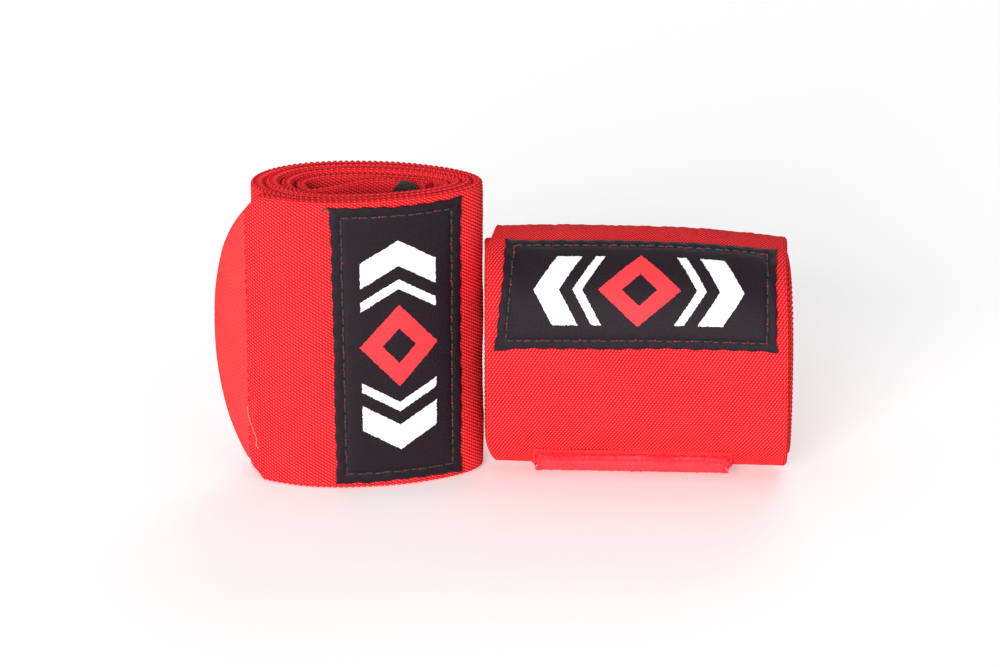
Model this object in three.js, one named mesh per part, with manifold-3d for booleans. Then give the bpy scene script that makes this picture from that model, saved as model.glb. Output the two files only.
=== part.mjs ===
// A pair of elastic hand wraps, each wound into an oval roll.
// The left wrap stands on its selvedge with its closing tab sprung open; the right wrap lies on its
// loop patch with its tab tucked down its back. Millimetres, +X right, +Y away from the viewer, +Z up.
import * as THREE from 'three';
import { mergeVertices } from 'three/addons/utils/BufferGeometryUtils.js';
import Module from 'manifold-3d';

const wasm = await Module();
wasm.setup();

// ---- Driving dimensions ----
const BAND_WIDTH = 76; // a three inch elastic
const BAND_THICKNESS = 1.9;
const HALF_BAND = BAND_THICKNESS / 2;
const GAP = 0.3; // clearance between pieces that lie on each other

// Lengths along the band, measured inward from the closing tab's straight seam.
const TAB_TIP = -12;
const TAB_ROOT = 6;
const LABEL = { from: 26.3, to: 57.3, margin: 1.9, thickness: 0.8 };
const BACKING = { from: 89.8, to: 141, low: 11.6, high: 62.2, thickness: 0.7 };
const PILE = { from: 91.2, to: 138.6, low: 13.2, high: 60.6, thickness: 1.3 };
const HOOK = { to: -0.9, inset: 0.7, thickness: 1.0 };

const TAB_CORNER_RADIUS = 49; // the rounded end is one arc that reaches the full width at the tab's root
const THREAD_WIDTH = 0.7;
const THREAD_THICKNESS = 0.35;
const LABEL_SEAM_INSET = 2.3;
const TAB_SEAM_INSET = 1.4;
const PATCH_SEAM_INSET = 0.7;

const HEM_LENGTH = 10; // the folded inner end of the band
const HEM_THICKNESS = 1.4;
const HEM_SEAM = { back: 10.9, margin: 3 };
const TACK = { back: 5.2, reach: 4.4, low: 30, high: 35, thickness: 0.6 };

const CORD_DIAMETER = 3;
const CORD_SIDES = 8;
const CORD_STEPS = 22;
// The thumb loop's route: along the hem, out from its face, and up the roll, from one end to the other.
const CORD_ROUTE = [
  [-2.7, 4.7, 36.2],
  [-2.75, 4.8, 42],
  [-2.8, 5.0, 50],
  [-2.8, 5.2, 58],
  [-2.8, 5.3, 66],
  [-2.5, 5.4, 71],
  [-1.5, 5.4, 73.9],
  [0, 5.4, 74.9],
  [1.5, 5.4, 73.9],
  [2.5, 5.4, 71],
  [2.8, 5.3, 66],
  [2.8, 5.2, 58],
  [2.8, 5.0, 50],
  [2.75, 4.8, 42],
  [2.7, 4.7, 36.2],
];

// Each roll is an oval spiral. Half widths and half depths shrink by a fixed pitch each turn.
// "egg" makes the tab's end of the oval fuller, and "square" above 2 flattens its sides.
const LEFT_ROLL = {
  tabEnd: { half: 31.1, pitch: 3.85 },
  foldEnd: { half: 29.2, pitch: 2.75 },
  front: { half: 16.6, pitch: 2.38 },
  back: { half: 16.7, pitch: 2.42 },
  egg: 0.2,
  square: 2,
  firstTurn: 0,
  lastTurn: 3.85,
  free: { length: 26, turnFrom: 0, turnTo: 42 },
};
const RIGHT_ROLL = {
  tabEnd: { half: 29.6, pitch: 3.2 },
  foldEnd: { half: 31.2, pitch: 2.9 },
  front: { half: 18.6, pitch: 2.45 },
  back: { half: 18.8, pitch: 2.5 },
  egg: 0.2,
  square: 2.4,
  firstTurn: -0.25,
  lastTurn: 3.85,
  free: { length: 20, turnFrom: -11, turnTo: -2 },
};
const START_ANGLE = THREE.MathUtils.degToRad(233);
// The innermost run crosses the core to the hem, in shares of the innermost half width and half depth.
const CORE_RUN = [
  [-0.91, -0.53],
  [-0.735, -0.58],
  [-0.37, -0.12],
  [0.03, 0.45],
  [0.43, 0.57],
  [0.78, 0.43],
  [1.0, 0.13],
];
const POINTS_PER_TURN = 48;

const LEFT_PLACE = { x: -34.04, y: -0.71, z: 0 };
const RIGHT_PLACE = { x: -3.94, y: -4.31, z: 33.3, lean: THREE.MathUtils.degToRad(3) };

// ---- Materials ----
const redElastic = new THREE.MeshStandardMaterial({ color: 0xe8141f, roughness: 0.85, metalness: 0 });
const redPile = new THREE.MeshStandardMaterial({ color: 0xf0404c, roughness: 0.95, metalness: 0 });
const redHook = new THREE.MeshStandardMaterial({ color: 0xc8101a, roughness: 0.6, metalness: 0 });
const blackSatin = new THREE.MeshStandardMaterial({ color: 0x1c1a1e, roughness: 0.5, metalness: 0 });
const blackThread = new THREE.MeshStandardMaterial({ color: 0x0c0b0d, roughness: 0.7, metalness: 0 });
const redThread = new THREE.MeshStandardMaterial({ color: 0xb00d18, roughness: 0.7, metalness: 0 });
const blackBraid = new THREE.MeshStandardMaterial({ color: 0x151417, roughness: 0.65, metalness: 0 });

// ---- The wound path ----
function ovalPoint(roll, turn) {
  const angle = START_ANGLE + 2 * Math.PI * turn;
  const cos = Math.cos(angle);
  const sin = Math.sin(angle);
  const power = 2 / roll.square;
  const across = Math.sign(cos) * Math.abs(cos) ** power;
  const deep = Math.sign(sin) * Math.abs(sin) ** power;
  const size = (side) => side.half - side.pitch * turn;
  const halfWidth = THREE.MathUtils.lerp(size(roll.tabEnd), size(roll.foldEnd), (1 + cos) / 2);
  const halfDepth = THREE.MathUtils.lerp(size(roll.front), size(roll.back), (1 + sin) / 2);
  return new THREE.Vector2(halfWidth * across, halfDepth * deep * (1 - roll.egg * across));
}

function freeEnd(roll) {
  const start = ovalPoint(roll, roll.firstTurn);
  const before = ovalPoint(roll, roll.firstTurn + 0.001);
  const heading = start.clone().sub(before).angle();
  const steps = 20;
  const points = [];
  const at = start.clone();
  for (let i = 0; i < steps; i += 1) {
    const turned = THREE.MathUtils.lerp(roll.free.turnFrom, roll.free.turnTo, (i + 0.5) / steps);
    const angle = heading - THREE.MathUtils.degToRad(turned);
    const step = roll.free.length / steps;
    at.add(new THREE.Vector2(Math.cos(angle), Math.sin(angle)).multiplyScalar(step));
    points.unshift(at.clone());
  }
  return points;
}

function coreRun(roll) {
  const halfWidth = roll.tabEnd.half - roll.tabEnd.pitch * roll.lastTurn;
  const halfDepth = roll.front.half - roll.front.pitch * roll.lastTurn;
  const points = [ovalPoint(roll, roll.lastTurn - 0.02), ovalPoint(roll, roll.lastTurn)];
  for (const [x, y] of CORE_RUN) points.push(new THREE.Vector2(x * halfWidth, y * halfDepth));
  return new THREE.SplineCurve(points).getPoints(60).slice(8);
}

// A list of points with the length of band from the tab's seam to each, growing inward.
function makePath(roll) {
  const points = freeEnd(roll);
  const turns = roll.lastTurn - roll.firstTurn;
  const count = Math.round(turns * POINTS_PER_TURN);
  for (let i = 0; i <= count; i += 1) points.push(ovalPoint(roll, roll.firstTurn + (turns * i) / count));
  points.push(...coreRun(roll));
  const lengths = [TAB_TIP];
  for (let i = 1; i < points.length; i += 1) {
    lengths.push(lengths[i - 1] + points[i].distanceTo(points[i - 1]));
  }
  return { points, lengths, end: lengths[lengths.length - 1] };
}

function pointAt(path, length) {
  let i = 1;
  while (i < path.points.length - 1 && path.lengths[i] < length) i += 1;
  const share = (length - path.lengths[i - 1]) / (path.lengths[i] - path.lengths[i - 1]);
  return path.points[i - 1].clone().lerp(path.points[i], share);
}

function tangentAt(path, length) {
  const reach = 0.8;
  const low = Math.max(length - reach, TAB_TIP);
  const high = Math.min(length + reach, path.end);
  return pointAt(path, high).sub(pointAt(path, low)).normalize();
}

// A point of the path moved towards the face of the band that carries the label.
function outwardPoint(path, length, offset) {
  const tangent = tangentAt(path, length);
  return pointAt(path, length).add(new THREE.Vector2(tangent.y, -tangent.x).multiplyScalar(offset));
}

// ---- Solids ----
function toSolid(geometry) {
  const bare = geometry.clone();
  bare.deleteAttribute('normal');
  bare.deleteAttribute('uv');
  const merged = mergeVertices(bare, 1e-4);
  return new wasm.Manifold(
    new wasm.Mesh({
      numProp: 3,
      vertProperties: new Float32Array(merged.attributes.position.array),
      triVerts: new Uint32Array(merged.index.array),
    }),
  );
}

function toGeometry(solid) {
  const mesh = solid.getMesh();
  const geometry = new THREE.BufferGeometry();
  geometry.setAttribute('position', new THREE.BufferAttribute(mesh.vertProperties, 3));
  geometry.setIndex(new THREE.BufferAttribute(mesh.triVerts, 1));
  return geometry;
}

const join = (a, b) => toGeometry(toSolid(a).add(toSolid(b)));
const cut = (a, b) => toGeometry(toSolid(a).subtract(toSolid(b)));
const overlap = (a, b) => toGeometry(toSolid(a).intersect(toSolid(b)));

// The layer of cloth between two lengths, two offsets from the band's middle and two heights.
function layer(path, { from, to, inner, outer, low, high }) {
  const inside = path.lengths.filter((length) => length > from + 0.4 && length < to - 0.4);
  const lengths = [from, ...inside, to];
  const outline = lengths.map((length) => outwardPoint(path, length, outer));
  outline.push(...lengths.reverse().map((length) => outwardPoint(path, length, inner)));
  const geometry = new THREE.ExtrudeGeometry(new THREE.Shape(outline), {
    depth: high - low,
    bevelEnabled: false,
  });
  return geometry.translate(0, 0, low);
}

// A closed frame of thread that runs inside the edges of a sewn piece.
function seamFrame(path, piece, inset, surface) {
  const sheet = (edge) =>
    layer(path, {
      from: piece.from + edge,
      to: piece.to - edge,
      low: piece.low + edge,
      high: piece.high - edge,
      inner: edge === inset ? surface + GAP : surface,
      outer: edge === inset ? surface + GAP + THREAD_THICKNESS : surface + 2,
    });
  return cut(sheet(inset), sheet(inset + THREAD_WIDTH));
}

// The rounded end of the closing tab as a block seen along Y, its curved edge moved in by an inset.
function tabOutline(path, inset, to) {
  const radius = TAB_CORNER_RADIUS - inset;
  const steps = 24;
  const upper = [];
  for (let i = 0; i <= steps; i += 1) {
    const length = THREE.MathUtils.lerp(TAB_TIP + inset, to, i / steps);
    const depth = TAB_CORNER_RADIUS - (length - TAB_TIP);
    const rise = Math.sqrt(Math.max(radius * radius - depth * depth, 0));
    upper.push([pointAt(path, length).x, Math.min(rise, BAND_WIDTH / 2)]);
  }
  const points = upper.map(([x, rise]) => new THREE.Vector2(x, BAND_WIDTH / 2 + rise));
  points.push(...upper.slice(1).reverse().map(([x, rise]) => new THREE.Vector2(x, BAND_WIDTH / 2 - rise)));
  const reach = 80;
  return new THREE.ExtrudeGeometry(new THREE.Shape(points), { depth: reach, bevelEnabled: false })
    .rotateX(Math.PI / 2)
    .translate(0, reach / 2, 0);
}

function tabLayer(path, inset, to, inner, outer) {
  const sheet = layer(path, { from: TAB_TIP, to, inner, outer, low: 0, high: BAND_WIDTH });
  return overlap(sheet, tabOutline(path, inset, to + 1));
}

function elasticBand(path) {
  const band = layer(path, {
    from: TAB_ROOT + GAP / 2,
    to: path.end,
    inner: -HALF_BAND,
    outer: HALF_BAND,
    low: 0,
    high: BAND_WIDTH,
  });
  const fold = layer(path, {
    from: path.end - HEM_LENGTH,
    to: path.end,
    inner: HALF_BAND - 0.2,
    outer: HALF_BAND + HEM_THICKNESS,
    low: 0,
    high: BAND_WIDTH,
  });
  return join(band, fold);
}

function tabSeam(path) {
  const surface = HALF_BAND + GAP;
  const half = THREAD_WIDTH / 2;
  const whole = tabLayer(path, TAB_SEAM_INSET, half, surface, surface + THREAD_THICKNESS);
  const inside = tabLayer(path, TAB_SEAM_INSET + THREAD_WIDTH, -half, surface - 1, surface + 2);
  return cut(whole, inside);
}

function label(path) {
  return layer(path, {
    from: LABEL.from,
    to: LABEL.to,
    low: LABEL.margin,
    high: BAND_WIDTH - LABEL.margin,
    inner: HALF_BAND + GAP,
    outer: HALF_BAND + GAP + LABEL.thickness,
  });
}

function labelSeam(path) {
  const piece = { from: LABEL.from, to: LABEL.to, low: LABEL.margin, high: BAND_WIDTH - LABEL.margin };
  return seamFrame(path, piece, LABEL_SEAM_INSET, HALF_BAND + GAP + LABEL.thickness);
}

function patchLayer(path, piece, surface) {
  return layer(path, { ...piece, inner: surface + GAP, outer: surface + GAP + piece.thickness });
}

function hemSeam(path) {
  const middle = path.end - HEM_SEAM.back;
  const surface = HALF_BAND + GAP;
  return layer(path, {
    from: middle - THREAD_WIDTH / 2,
    to: middle + THREAD_WIDTH / 2,
    low: HEM_SEAM.margin,
    high: BAND_WIDTH - HEM_SEAM.margin,
    inner: surface,
    outer: surface + THREAD_THICKNESS,
  });
}

function thumbLoopTack(path) {
  const middle = path.end - TACK.back;
  const surface = HALF_BAND + HEM_THICKNESS + GAP;
  return layer(path, {
    from: middle - TACK.reach,
    to: middle + TACK.reach,
    low: TACK.low,
    high: TACK.high,
    inner: surface,
    outer: surface + TACK.thickness,
  });
}

function thumbLoop(path) {
  const middle = path.end - TACK.back;
  const along = tangentAt(path, middle);
  const centre = pointAt(path, middle);
  const route = CORD_ROUTE.map(([forward, outward, height]) => {
    const x = centre.x + along.x * forward + along.y * outward;
    const y = centre.y + along.y * forward - along.x * outward;
    return new THREE.Vector3(x, y, height);
  });
  const section = new THREE.Shape();
  for (let i = 0; i < CORD_SIDES; i += 1) {
    const angle = (2 * Math.PI * i) / CORD_SIDES;
    const x = (CORD_DIAMETER / 2) * Math.cos(angle);
    const y = (CORD_DIAMETER / 2) * Math.sin(angle);
    if (i === 0) section.moveTo(x, y);
    else section.lineTo(x, y);
  }
  section.closePath();
  return new THREE.ExtrudeGeometry(section, {
    steps: CORD_STEPS,
    curveSegments: 1,
    bevelEnabled: false,
    extrudePath: new THREE.CatmullRomCurve3(route),
  });
}

// ---- Assembly ----
function makeWrap(side, roll) {
  const path = makePath(roll);
  const wrap = new THREE.Group();
  const add = (name, geometry, material) => {
    const mesh = new THREE.Mesh(geometry, material);
    mesh.name = `${side}_${name}`;
    wrap.add(mesh);
  };
  const patchSurface = HALF_BAND + GAP + BACKING.thickness;
  add('elastic_band', elasticBand(path), redElastic);
  add('closure_tab', tabLayer(path, 0, TAB_ROOT - GAP / 2, -HALF_BAND, HALF_BAND), redElastic);
  const hookSurface = -HALF_BAND - GAP;
  add('hook_patch', tabLayer(path, HOOK.inset, HOOK.to, hookSurface - HOOK.thickness, hookSurface), redHook);
  add('tab_stitching', tabSeam(path), redThread);
  add('label', label(path), blackSatin);
  add('label_stitching', labelSeam(path), blackThread);
  add('loop_patch_backing', patchLayer(path, BACKING, HALF_BAND), redElastic);
  add('loop_pile_patch', patchLayer(path, PILE, patchSurface), redPile);
  add('loop_patch_stitching', seamFrame(path, BACKING, PATCH_SEAM_INSET, patchSurface), redThread);
  add('hem_stitching', hemSeam(path), redThread);
  add('thumb_loop_tack', thumbLoopTack(path), blackThread);
  add('thumb_loop', thumbLoop(path), blackBraid);
  return wrap;
}

// The pile that the right roll rests on is pressed flat by the surface under it.
function pressFlat(wrap, name) {
  const floor = new THREE.BoxGeometry(200, 200, 20).translate(0, 0, -10);
  wrap.updateMatrixWorld(true);
  floor.applyMatrix4(wrap.matrixWorld.clone().invert());
  const mesh = wrap.getObjectByName(name);
  mesh.geometry = cut(mesh.geometry, floor);
}

const leftWrap = makeWrap('left', LEFT_ROLL);
leftWrap.position.set(LEFT_PLACE.x, LEFT_PLACE.y, LEFT_PLACE.z);

const rightWrap = makeWrap('right', RIGHT_ROLL);
rightWrap.rotation.set(RIGHT_PLACE.lean, Math.PI / 2, 0);
rightWrap.position.set(RIGHT_PLACE.x, RIGHT_PLACE.y, RIGHT_PLACE.z);
pressFlat(rightWrap, 'right_loop_pile_patch');

const pair = new THREE.Group();
pair.add(leftWrap, rightWrap);
export default pair;
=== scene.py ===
"""A pair of elastic hand wraps wound into oval rolls: the looks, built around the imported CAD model.

Every length is in millimetres until a mesh is made. A length along a band is measured inward, from a point
12 mm in from the closing tab's tip. A point on the cloth is (length along the band, offset from its middle, height
across its width), and the offset is positive on the face that carries the label.
"""

import math
from types import SimpleNamespace as Values

import bpy
import numpy as np
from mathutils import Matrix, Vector


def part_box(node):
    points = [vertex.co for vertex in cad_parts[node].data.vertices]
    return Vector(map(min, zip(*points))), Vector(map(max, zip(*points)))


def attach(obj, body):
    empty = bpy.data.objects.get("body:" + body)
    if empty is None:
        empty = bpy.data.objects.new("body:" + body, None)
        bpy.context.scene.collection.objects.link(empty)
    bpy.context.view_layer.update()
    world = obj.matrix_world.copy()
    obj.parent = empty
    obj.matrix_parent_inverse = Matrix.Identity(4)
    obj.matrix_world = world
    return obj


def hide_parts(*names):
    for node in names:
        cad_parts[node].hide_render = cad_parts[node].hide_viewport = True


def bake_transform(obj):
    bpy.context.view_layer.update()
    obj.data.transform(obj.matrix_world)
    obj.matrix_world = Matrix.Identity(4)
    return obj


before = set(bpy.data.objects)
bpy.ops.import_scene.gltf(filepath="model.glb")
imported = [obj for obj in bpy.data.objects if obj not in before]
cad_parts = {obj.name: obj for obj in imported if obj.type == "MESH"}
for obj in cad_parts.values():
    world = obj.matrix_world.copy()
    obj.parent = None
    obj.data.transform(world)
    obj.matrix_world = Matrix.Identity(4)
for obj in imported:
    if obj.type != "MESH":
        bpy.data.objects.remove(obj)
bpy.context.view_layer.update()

MM = 0.001
rng = np.random.default_rng(7)

# ---- The wound path, as in the CAD model ----
BAND_WIDTH = 76.0
HALF_BAND = 0.95
TAB_TIP = -12.0
TAB_ROOT = 6.0
TAB_CORNER_RADIUS = 49.0
CAD_GAP = 0.3
START_ANGLE = math.radians(233)
POINTS_PER_TURN = 240
PLACE_SAMPLES = 4000
FREE_END_STEPS = 20
SMALL_TURN = 0.001  # for the path's direction where the free end leaves the turns
# The innermost run, as shares of the oval's half sizes where the turns end.
CORE_RUN = [
    (-0.91, -0.53), (-0.735, -0.58), (-0.37, -0.12), (0.03, 0.45), (0.43, 0.57), (0.78, 0.43), (1.0, 0.13),
]
CORE_LEAD = 0.02  # its curve starts this part of a turn before the turns end
CORE_STEPS = 240
CORE_FROM = 32  # the curve's earlier points lie on the turns
HEM_LENGTH = 10.0
HEM_THICKNESS = 1.4
HEM_PAST_END = 0.1
TACK = Values(back=5.2, reach=4.4, low=30.0, high=35.0)
CORD_DIAMETER = 3.0
# The thumb loop's route: along the hem, out from its face, and up the roll, from one end to the other.
CORD_ROUTE = [
    (-2.7, 4.7, 36.2), (-2.75, 4.8, 42), (-2.8, 5.0, 50), (-2.8, 5.2, 58), (-2.8, 5.3, 66), (-2.5, 5.4, 71),
    (-1.5, 5.4, 73.9), (0, 5.4, 74.9), (1.5, 5.4, 73.9), (2.5, 5.4, 71), (2.8, 5.3, 66), (2.8, 5.2, 58),
    (2.8, 5.0, 50), (2.75, 4.8, 42), (2.7, 4.7, 36.2),
]
# Each roll's oval. The first four are a half size at turn 0 and how much it shrinks each turn. egg makes one
# end narrower, and square is the oval's power. turns are the first and last turn wound. free is the outer
# end's length, and the degrees it turns away from the roll at its start and at its tip.
ROLLS = {
    "left": {
        "tab_end": (31.1, 3.85), "fold_end": (29.2, 2.75), "front": (16.6, 2.38), "back": (16.7, 2.42),
        "egg": 0.2, "square": 2.0, "turns": (0.0, 3.85),
        "free": (26.0, 0.0, 42.0), "lean": None,
    },
    "right": {
        "tab_end": (29.6, 3.2), "fold_end": (31.2, 2.9), "front": (18.6, 2.45), "back": (18.8, 2.5),
        "egg": 0.2, "square": 2.4, "turns": (-0.25, 3.85),
        "free": (20.0, -11.0, -2.0), "lean": math.radians(3),
    },
}

# ---- Sewn pieces: their stretch along the band and across it ----
# A label's four corners, as (length along the band, height across it), in pairs from its two long edges.
LABELS = {
    "left": [[(25.4, 1.9), (24.7, 74.3)], [(57.3, 1.9), (57.3, 74.3)]],
    "right": [[(28.3, 5.3), (28.3, 72.8)], [(58.0, 2.5), (57.0, 71.8)]],
}
BACKING = Values(start=89.8, to=141.0, low=11.6, high=62.2)
PILE = Values(start=91.2, to=138.6, low=13.2, high=60.6)
HOOK_TO = -0.9
HOOK_INSET = 0.7

# ---- The weave ----
COLUMN = 0.73  # from one rib to the next along the band
BEADS_ACROSS = 84
EDGE_ROUND = 0.6  # the selvedge's rounding
FLAT_WIDTH = BAND_WIDTH - 2 * EDGE_ROUND
BEAD = FLAT_WIDTH / BEADS_ACROSS
WAVES = {"diagonal": 0.58, "other": 0.17, "rib": 0.25}
RELIEF = 0.24
PICOT = 2 * COLUMN
PICOT_HEIGHT = 0.5
PICOT_POWER = 0.8
PICOT_REACH = 0.9  # how far the scallops are felt into the band
OUTER_TURN_END = 190.0


# ---- Path ----
def oval_point(roll, turn):
    angle = START_ANGLE + 2 * math.pi * turn
    cos = math.cos(angle)
    sin = math.sin(angle)
    power = 2 / roll["square"]
    across = math.copysign(abs(cos) ** power, cos)
    deep = math.copysign(abs(sin) ** power, sin)
    tab_end, fold_end, front, back = (
        half - pitch * turn for half, pitch in (roll[k] for k in ("tab_end", "fold_end", "front", "back"))
    )
    half_width = tab_end + (fold_end - tab_end) * (1 + cos) / 2
    half_depth = front + (back - front) * (1 + sin) / 2
    return np.array([half_width * across, half_depth * deep * (1 - roll["egg"] * across)])


def free_end(roll):
    length, turn_from, turn_to = roll["free"]
    first = roll["turns"][0]
    start = oval_point(roll, first)
    ahead = start - oval_point(roll, first + SMALL_TURN)
    heading = math.atan2(ahead[1], ahead[0])
    points = []
    at = start.copy()
    for i in range(FREE_END_STEPS):
        turned = turn_from + (turn_to - turn_from) * (i + 0.5) / FREE_END_STEPS
        angle = heading - math.radians(turned)
        at = at + np.array([math.cos(angle), math.sin(angle)]) * length / FREE_END_STEPS
        points.insert(0, at)
    return points


def spline(points, count):
    """Uniform Catmull-Rom points, with the ends' tangents taken as three.js takes them."""
    points = np.asarray(points, float)
    last = len(points) - 1
    out = []
    for i in range(count + 1):
        at = last * i / count
        k = min(int(at), last - 1)
        t = at - k
        p0 = points[max(k - 1, 0)]
        p1 = points[k]
        p2 = points[k + 1]
        p3 = points[min(k + 2, last)]
        v0 = (p2 - p0) / 2
        v1 = (p3 - p1) / 2
        cubic = 2 * p1 - 2 * p2 + v0 + v1
        square = -3 * p1 + 3 * p2 - 2 * v0 - v1
        out.append(cubic * t**3 + square * t**2 + v0 * t + p1)
    return out


def core_run(roll):
    last = roll["turns"][1]
    half_width = roll["tab_end"][0] - roll["tab_end"][1] * last
    half_depth = roll["front"][0] - roll["front"][1] * last
    points = [oval_point(roll, last - CORE_LEAD), oval_point(roll, last)]
    points += [np.array([x * half_width, y * half_depth]) for x, y in CORE_RUN]
    return spline(points, CORE_STEPS)[CORE_FROM:]


class Wrap:
    """One wound wrap: its path, and the way from a point of its cloth to the row frame."""

    def __init__(self, side):
        self.side = side
        self.roll = ROLLS[side]
        first, last = self.roll["turns"]
        count = round((last - first) * POINTS_PER_TURN)
        points = free_end(self.roll)
        points += [oval_point(self.roll, first + (last - first) * i / count) for i in range(count + 1)]
        points += core_run(self.roll)
        self.points = np.array(points)
        steps = np.linalg.norm(np.diff(self.points, axis=0), axis=1)
        self.lengths = TAB_TIP + np.concatenate([[0], np.cumsum(steps)])
        self.end = self.lengths[-1]
        self.place = np.zeros(3)
        self.place = self._find_place()

    def xy(self, s):
        return np.stack([np.interp(s, self.lengths, self.points[:, k]) for k in (0, 1)], -1)

    def tangent(self, s, reach=0.8):
        ahead = self.xy(np.minimum(s + reach, self.end)) - self.xy(np.maximum(s - reach, TAB_TIP))
        return ahead / np.linalg.norm(ahead, axis=-1, keepdims=True)

    def normal(self, s):
        t = self.tangent(s)
        return np.stack([t[..., 1], -t[..., 0]], -1)

    def turned(self, local):
        """Row-frame directions of local points: the right wrap lies on its side and leans."""
        if self.roll["lean"] is None:
            return local
        cos = math.cos(self.roll["lean"])
        sin = math.sin(self.roll["lean"])
        x, y, z = local[..., 0], local[..., 1], local[..., 2]
        return np.stack([z, y * cos + x * sin, y * sin - x * cos], -1)

    def _find_place(self):
        """The wrap's place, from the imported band: the path's own box is laid on the band's box."""
        s = np.linspace(TAB_ROOT + CAD_GAP / 2, self.end, PLACE_SAMPLES)
        low = np.full(3, np.inf)
        for offset in (-HALF_BAND, HALF_BAND):
            for height in (0.0, BAND_WIDTH):
                low = np.minimum(low, self.unsettled(s, offset, height).min(0))
        return np.array(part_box(f"{self.side}_elastic_band")[0]) / MM - low

    def unsettled(self, s, offset, height):
        s, offset, height = np.broadcast_arrays(*(np.asarray(a, float) for a in (s, offset, height)))
        flat = self.xy(s) + self.normal(s) * offset[..., None]
        return self.turned(np.concatenate([flat, height[..., None]], -1)) + self.place

    def on_cloth(self, s, offset, height):
        """Row-frame points, in millimetres, of cloth points given as three arrays."""
        return settle(self.side, self.unsettled(s, offset, height))


# The lying roll has sunk under its own weight, most towards its right end. It is turned a little, so that end
# is nearer the front, and its selvedges spread where it stands and draw in at the top.
SAG = Values(all=1.0, middle=33.0, reach=39.0, left=0.6, right=2.3, top=62.0, limit=1.1,
             power=3)
YAW = math.radians(2.8)
SPREAD = Values(start=50.0, over=18.0, foot=1.0, top=-0.8)
FOOT_CORNER = Values(start=4.0, over=10.0, height=13.0, inset=3.4, power=1.5)


def smooth(t):
    t = np.clip(t, 0, 1)
    return t * t * (3 - 2 * t)


def bell(distance, reach):
    """A bump of height 1 at no distance."""
    return np.exp(-((distance / reach) ** 2))


def decay(distance, reach):
    """1 at no distance, fading away past it."""
    return np.exp(-distance / reach)


def settle(side, points):
    if side == "left":
        return points
    x, y, z = (points[..., k] for k in range(3))
    out = points.copy()
    along = np.clip((x - SAG.middle) / SAG.reach, -SAG.limit, SAG.limit)
    up = np.clip(z / SAG.top, 0, 1)
    sink = SAG.all + np.where(along < 0, SAG.left, SAG.right) * along**2
    out[..., 2] -= sink * up ** SAG.power
    out[..., 1] -= math.tan(YAW) * (x - SAG.middle)
    spread = SPREAD.foot + (SPREAD.top - SPREAD.foot) * up
    out[..., 0] += spread * smooth((x - SPREAD.start) / SPREAD.over)
    corner = smooth((FOOT_CORNER.start + FOOT_CORNER.over / 2 - x) / FOOT_CORNER.over)
    low = np.clip(1 - z / FOOT_CORNER.height, 0, 1)
    out[..., 0] += FOOT_CORNER.inset * corner * low ** FOOT_CORNER.power
    return out


# ---- Meshes ----
SHARP_ANGLE = math.radians(72)


def make_object(name, points, faces, material, cloth=None):
    """A mesh object from points in millimetres and arrays of faces. cloth has a row for each point."""
    mesh = bpy.data.meshes.new(name)
    points = np.asarray(points, float).reshape(-1, 3)
    mesh.vertices.add(len(points))
    mesh.vertices.foreach_set("co", (points * MM).ravel())
    corners = np.concatenate([f.ravel() for f in faces])
    sizes = np.concatenate([np.full(f.shape[0], f.shape[1]) for f in faces])
    starts = np.concatenate([[0], np.cumsum(sizes)[:-1]])
    mesh.loops.add(len(corners))
    mesh.loops.foreach_set("vertex_index", corners.astype(np.int32))
    mesh.polygons.add(len(sizes))
    mesh.polygons.foreach_set("loop_start", starts.astype(np.int32))
    mesh.update(calc_edges=True)
    mesh.validate()
    if cloth is not None:
        attribute = mesh.attributes.new("cloth", "FLOAT_VECTOR", "POINT")
        attribute.data.foreach_set("vector", np.asarray(cloth, float).astype(np.float32).ravel())
    mesh.shade_smooth()
    mesh.set_sharp_from_angle(angle=SHARP_ANGLE)
    mesh.materials.append(material)
    made = bpy.data.objects.new(name, mesh)
    bpy.context.scene.collection.objects.link(made)
    return made


def cloth_values(along, across, edge=0.0):
    """The cloth attribute of a grid of points."""
    return np.stack(np.broadcast_arrays(along, across, edge), -1)


def grid_faces(rows, columns, base=0, closed=False):
    """Quads between the points of a grid, each row closing on itself if closed."""
    index = base + np.arange(rows * columns).reshape(rows, columns)
    right = np.roll(index, -1, axis=1) if closed else index[:, 1:]
    left = index if closed else index[:, :-1]
    return np.stack([left[:-1], left[1:], right[1:], right[:-1]], -1).reshape(-1, 4)


def slab(name, top, bottom, material, cloth):
    """A closed slab between two grids of points of the same shape."""
    rows, columns = top.shape[:2]
    count = rows * columns
    index = np.arange(count).reshape(rows, columns)
    rim = np.concatenate([index[0, :-1], index[:-1, -1], index[-1, :0:-1], index[:0:-1, 0]])
    ahead = np.roll(rim, -1)
    walls = np.stack([rim, ahead, ahead + count, rim + count], -1)
    faces = [grid_faces(rows, columns), grid_faces(rows, columns, count)[:, ::-1], walls]
    points = np.concatenate([top.reshape(-1, 3), bottom.reshape(-1, 3)])
    both = np.concatenate([cloth.reshape(-1, 3), cloth.reshape(-1, 3)])
    return fix_normals(make_object(name, points, faces, material, both))


def fix_normals(obj):
    """Turns a closed piece the right way out if its faces point inward."""
    mesh = obj.data
    corners = np.zeros(len(mesh.vertices) * 3)
    mesh.vertices.foreach_get("co", corners)
    corners = corners.reshape(-1, 3)
    mesh.calc_loop_triangles()
    triangles = np.zeros(len(mesh.loop_triangles) * 3, np.int32)
    mesh.loop_triangles.foreach_get("vertices", triangles)
    a, b, c = (corners[triangles.reshape(-1, 3)[:, k]] for k in range(3))
    if np.einsum("ij,ij->i", a, np.cross(b, c)).sum() < 0:
        mesh.flip_normals()
    return obj


NOISE_WAVES = 6


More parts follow.
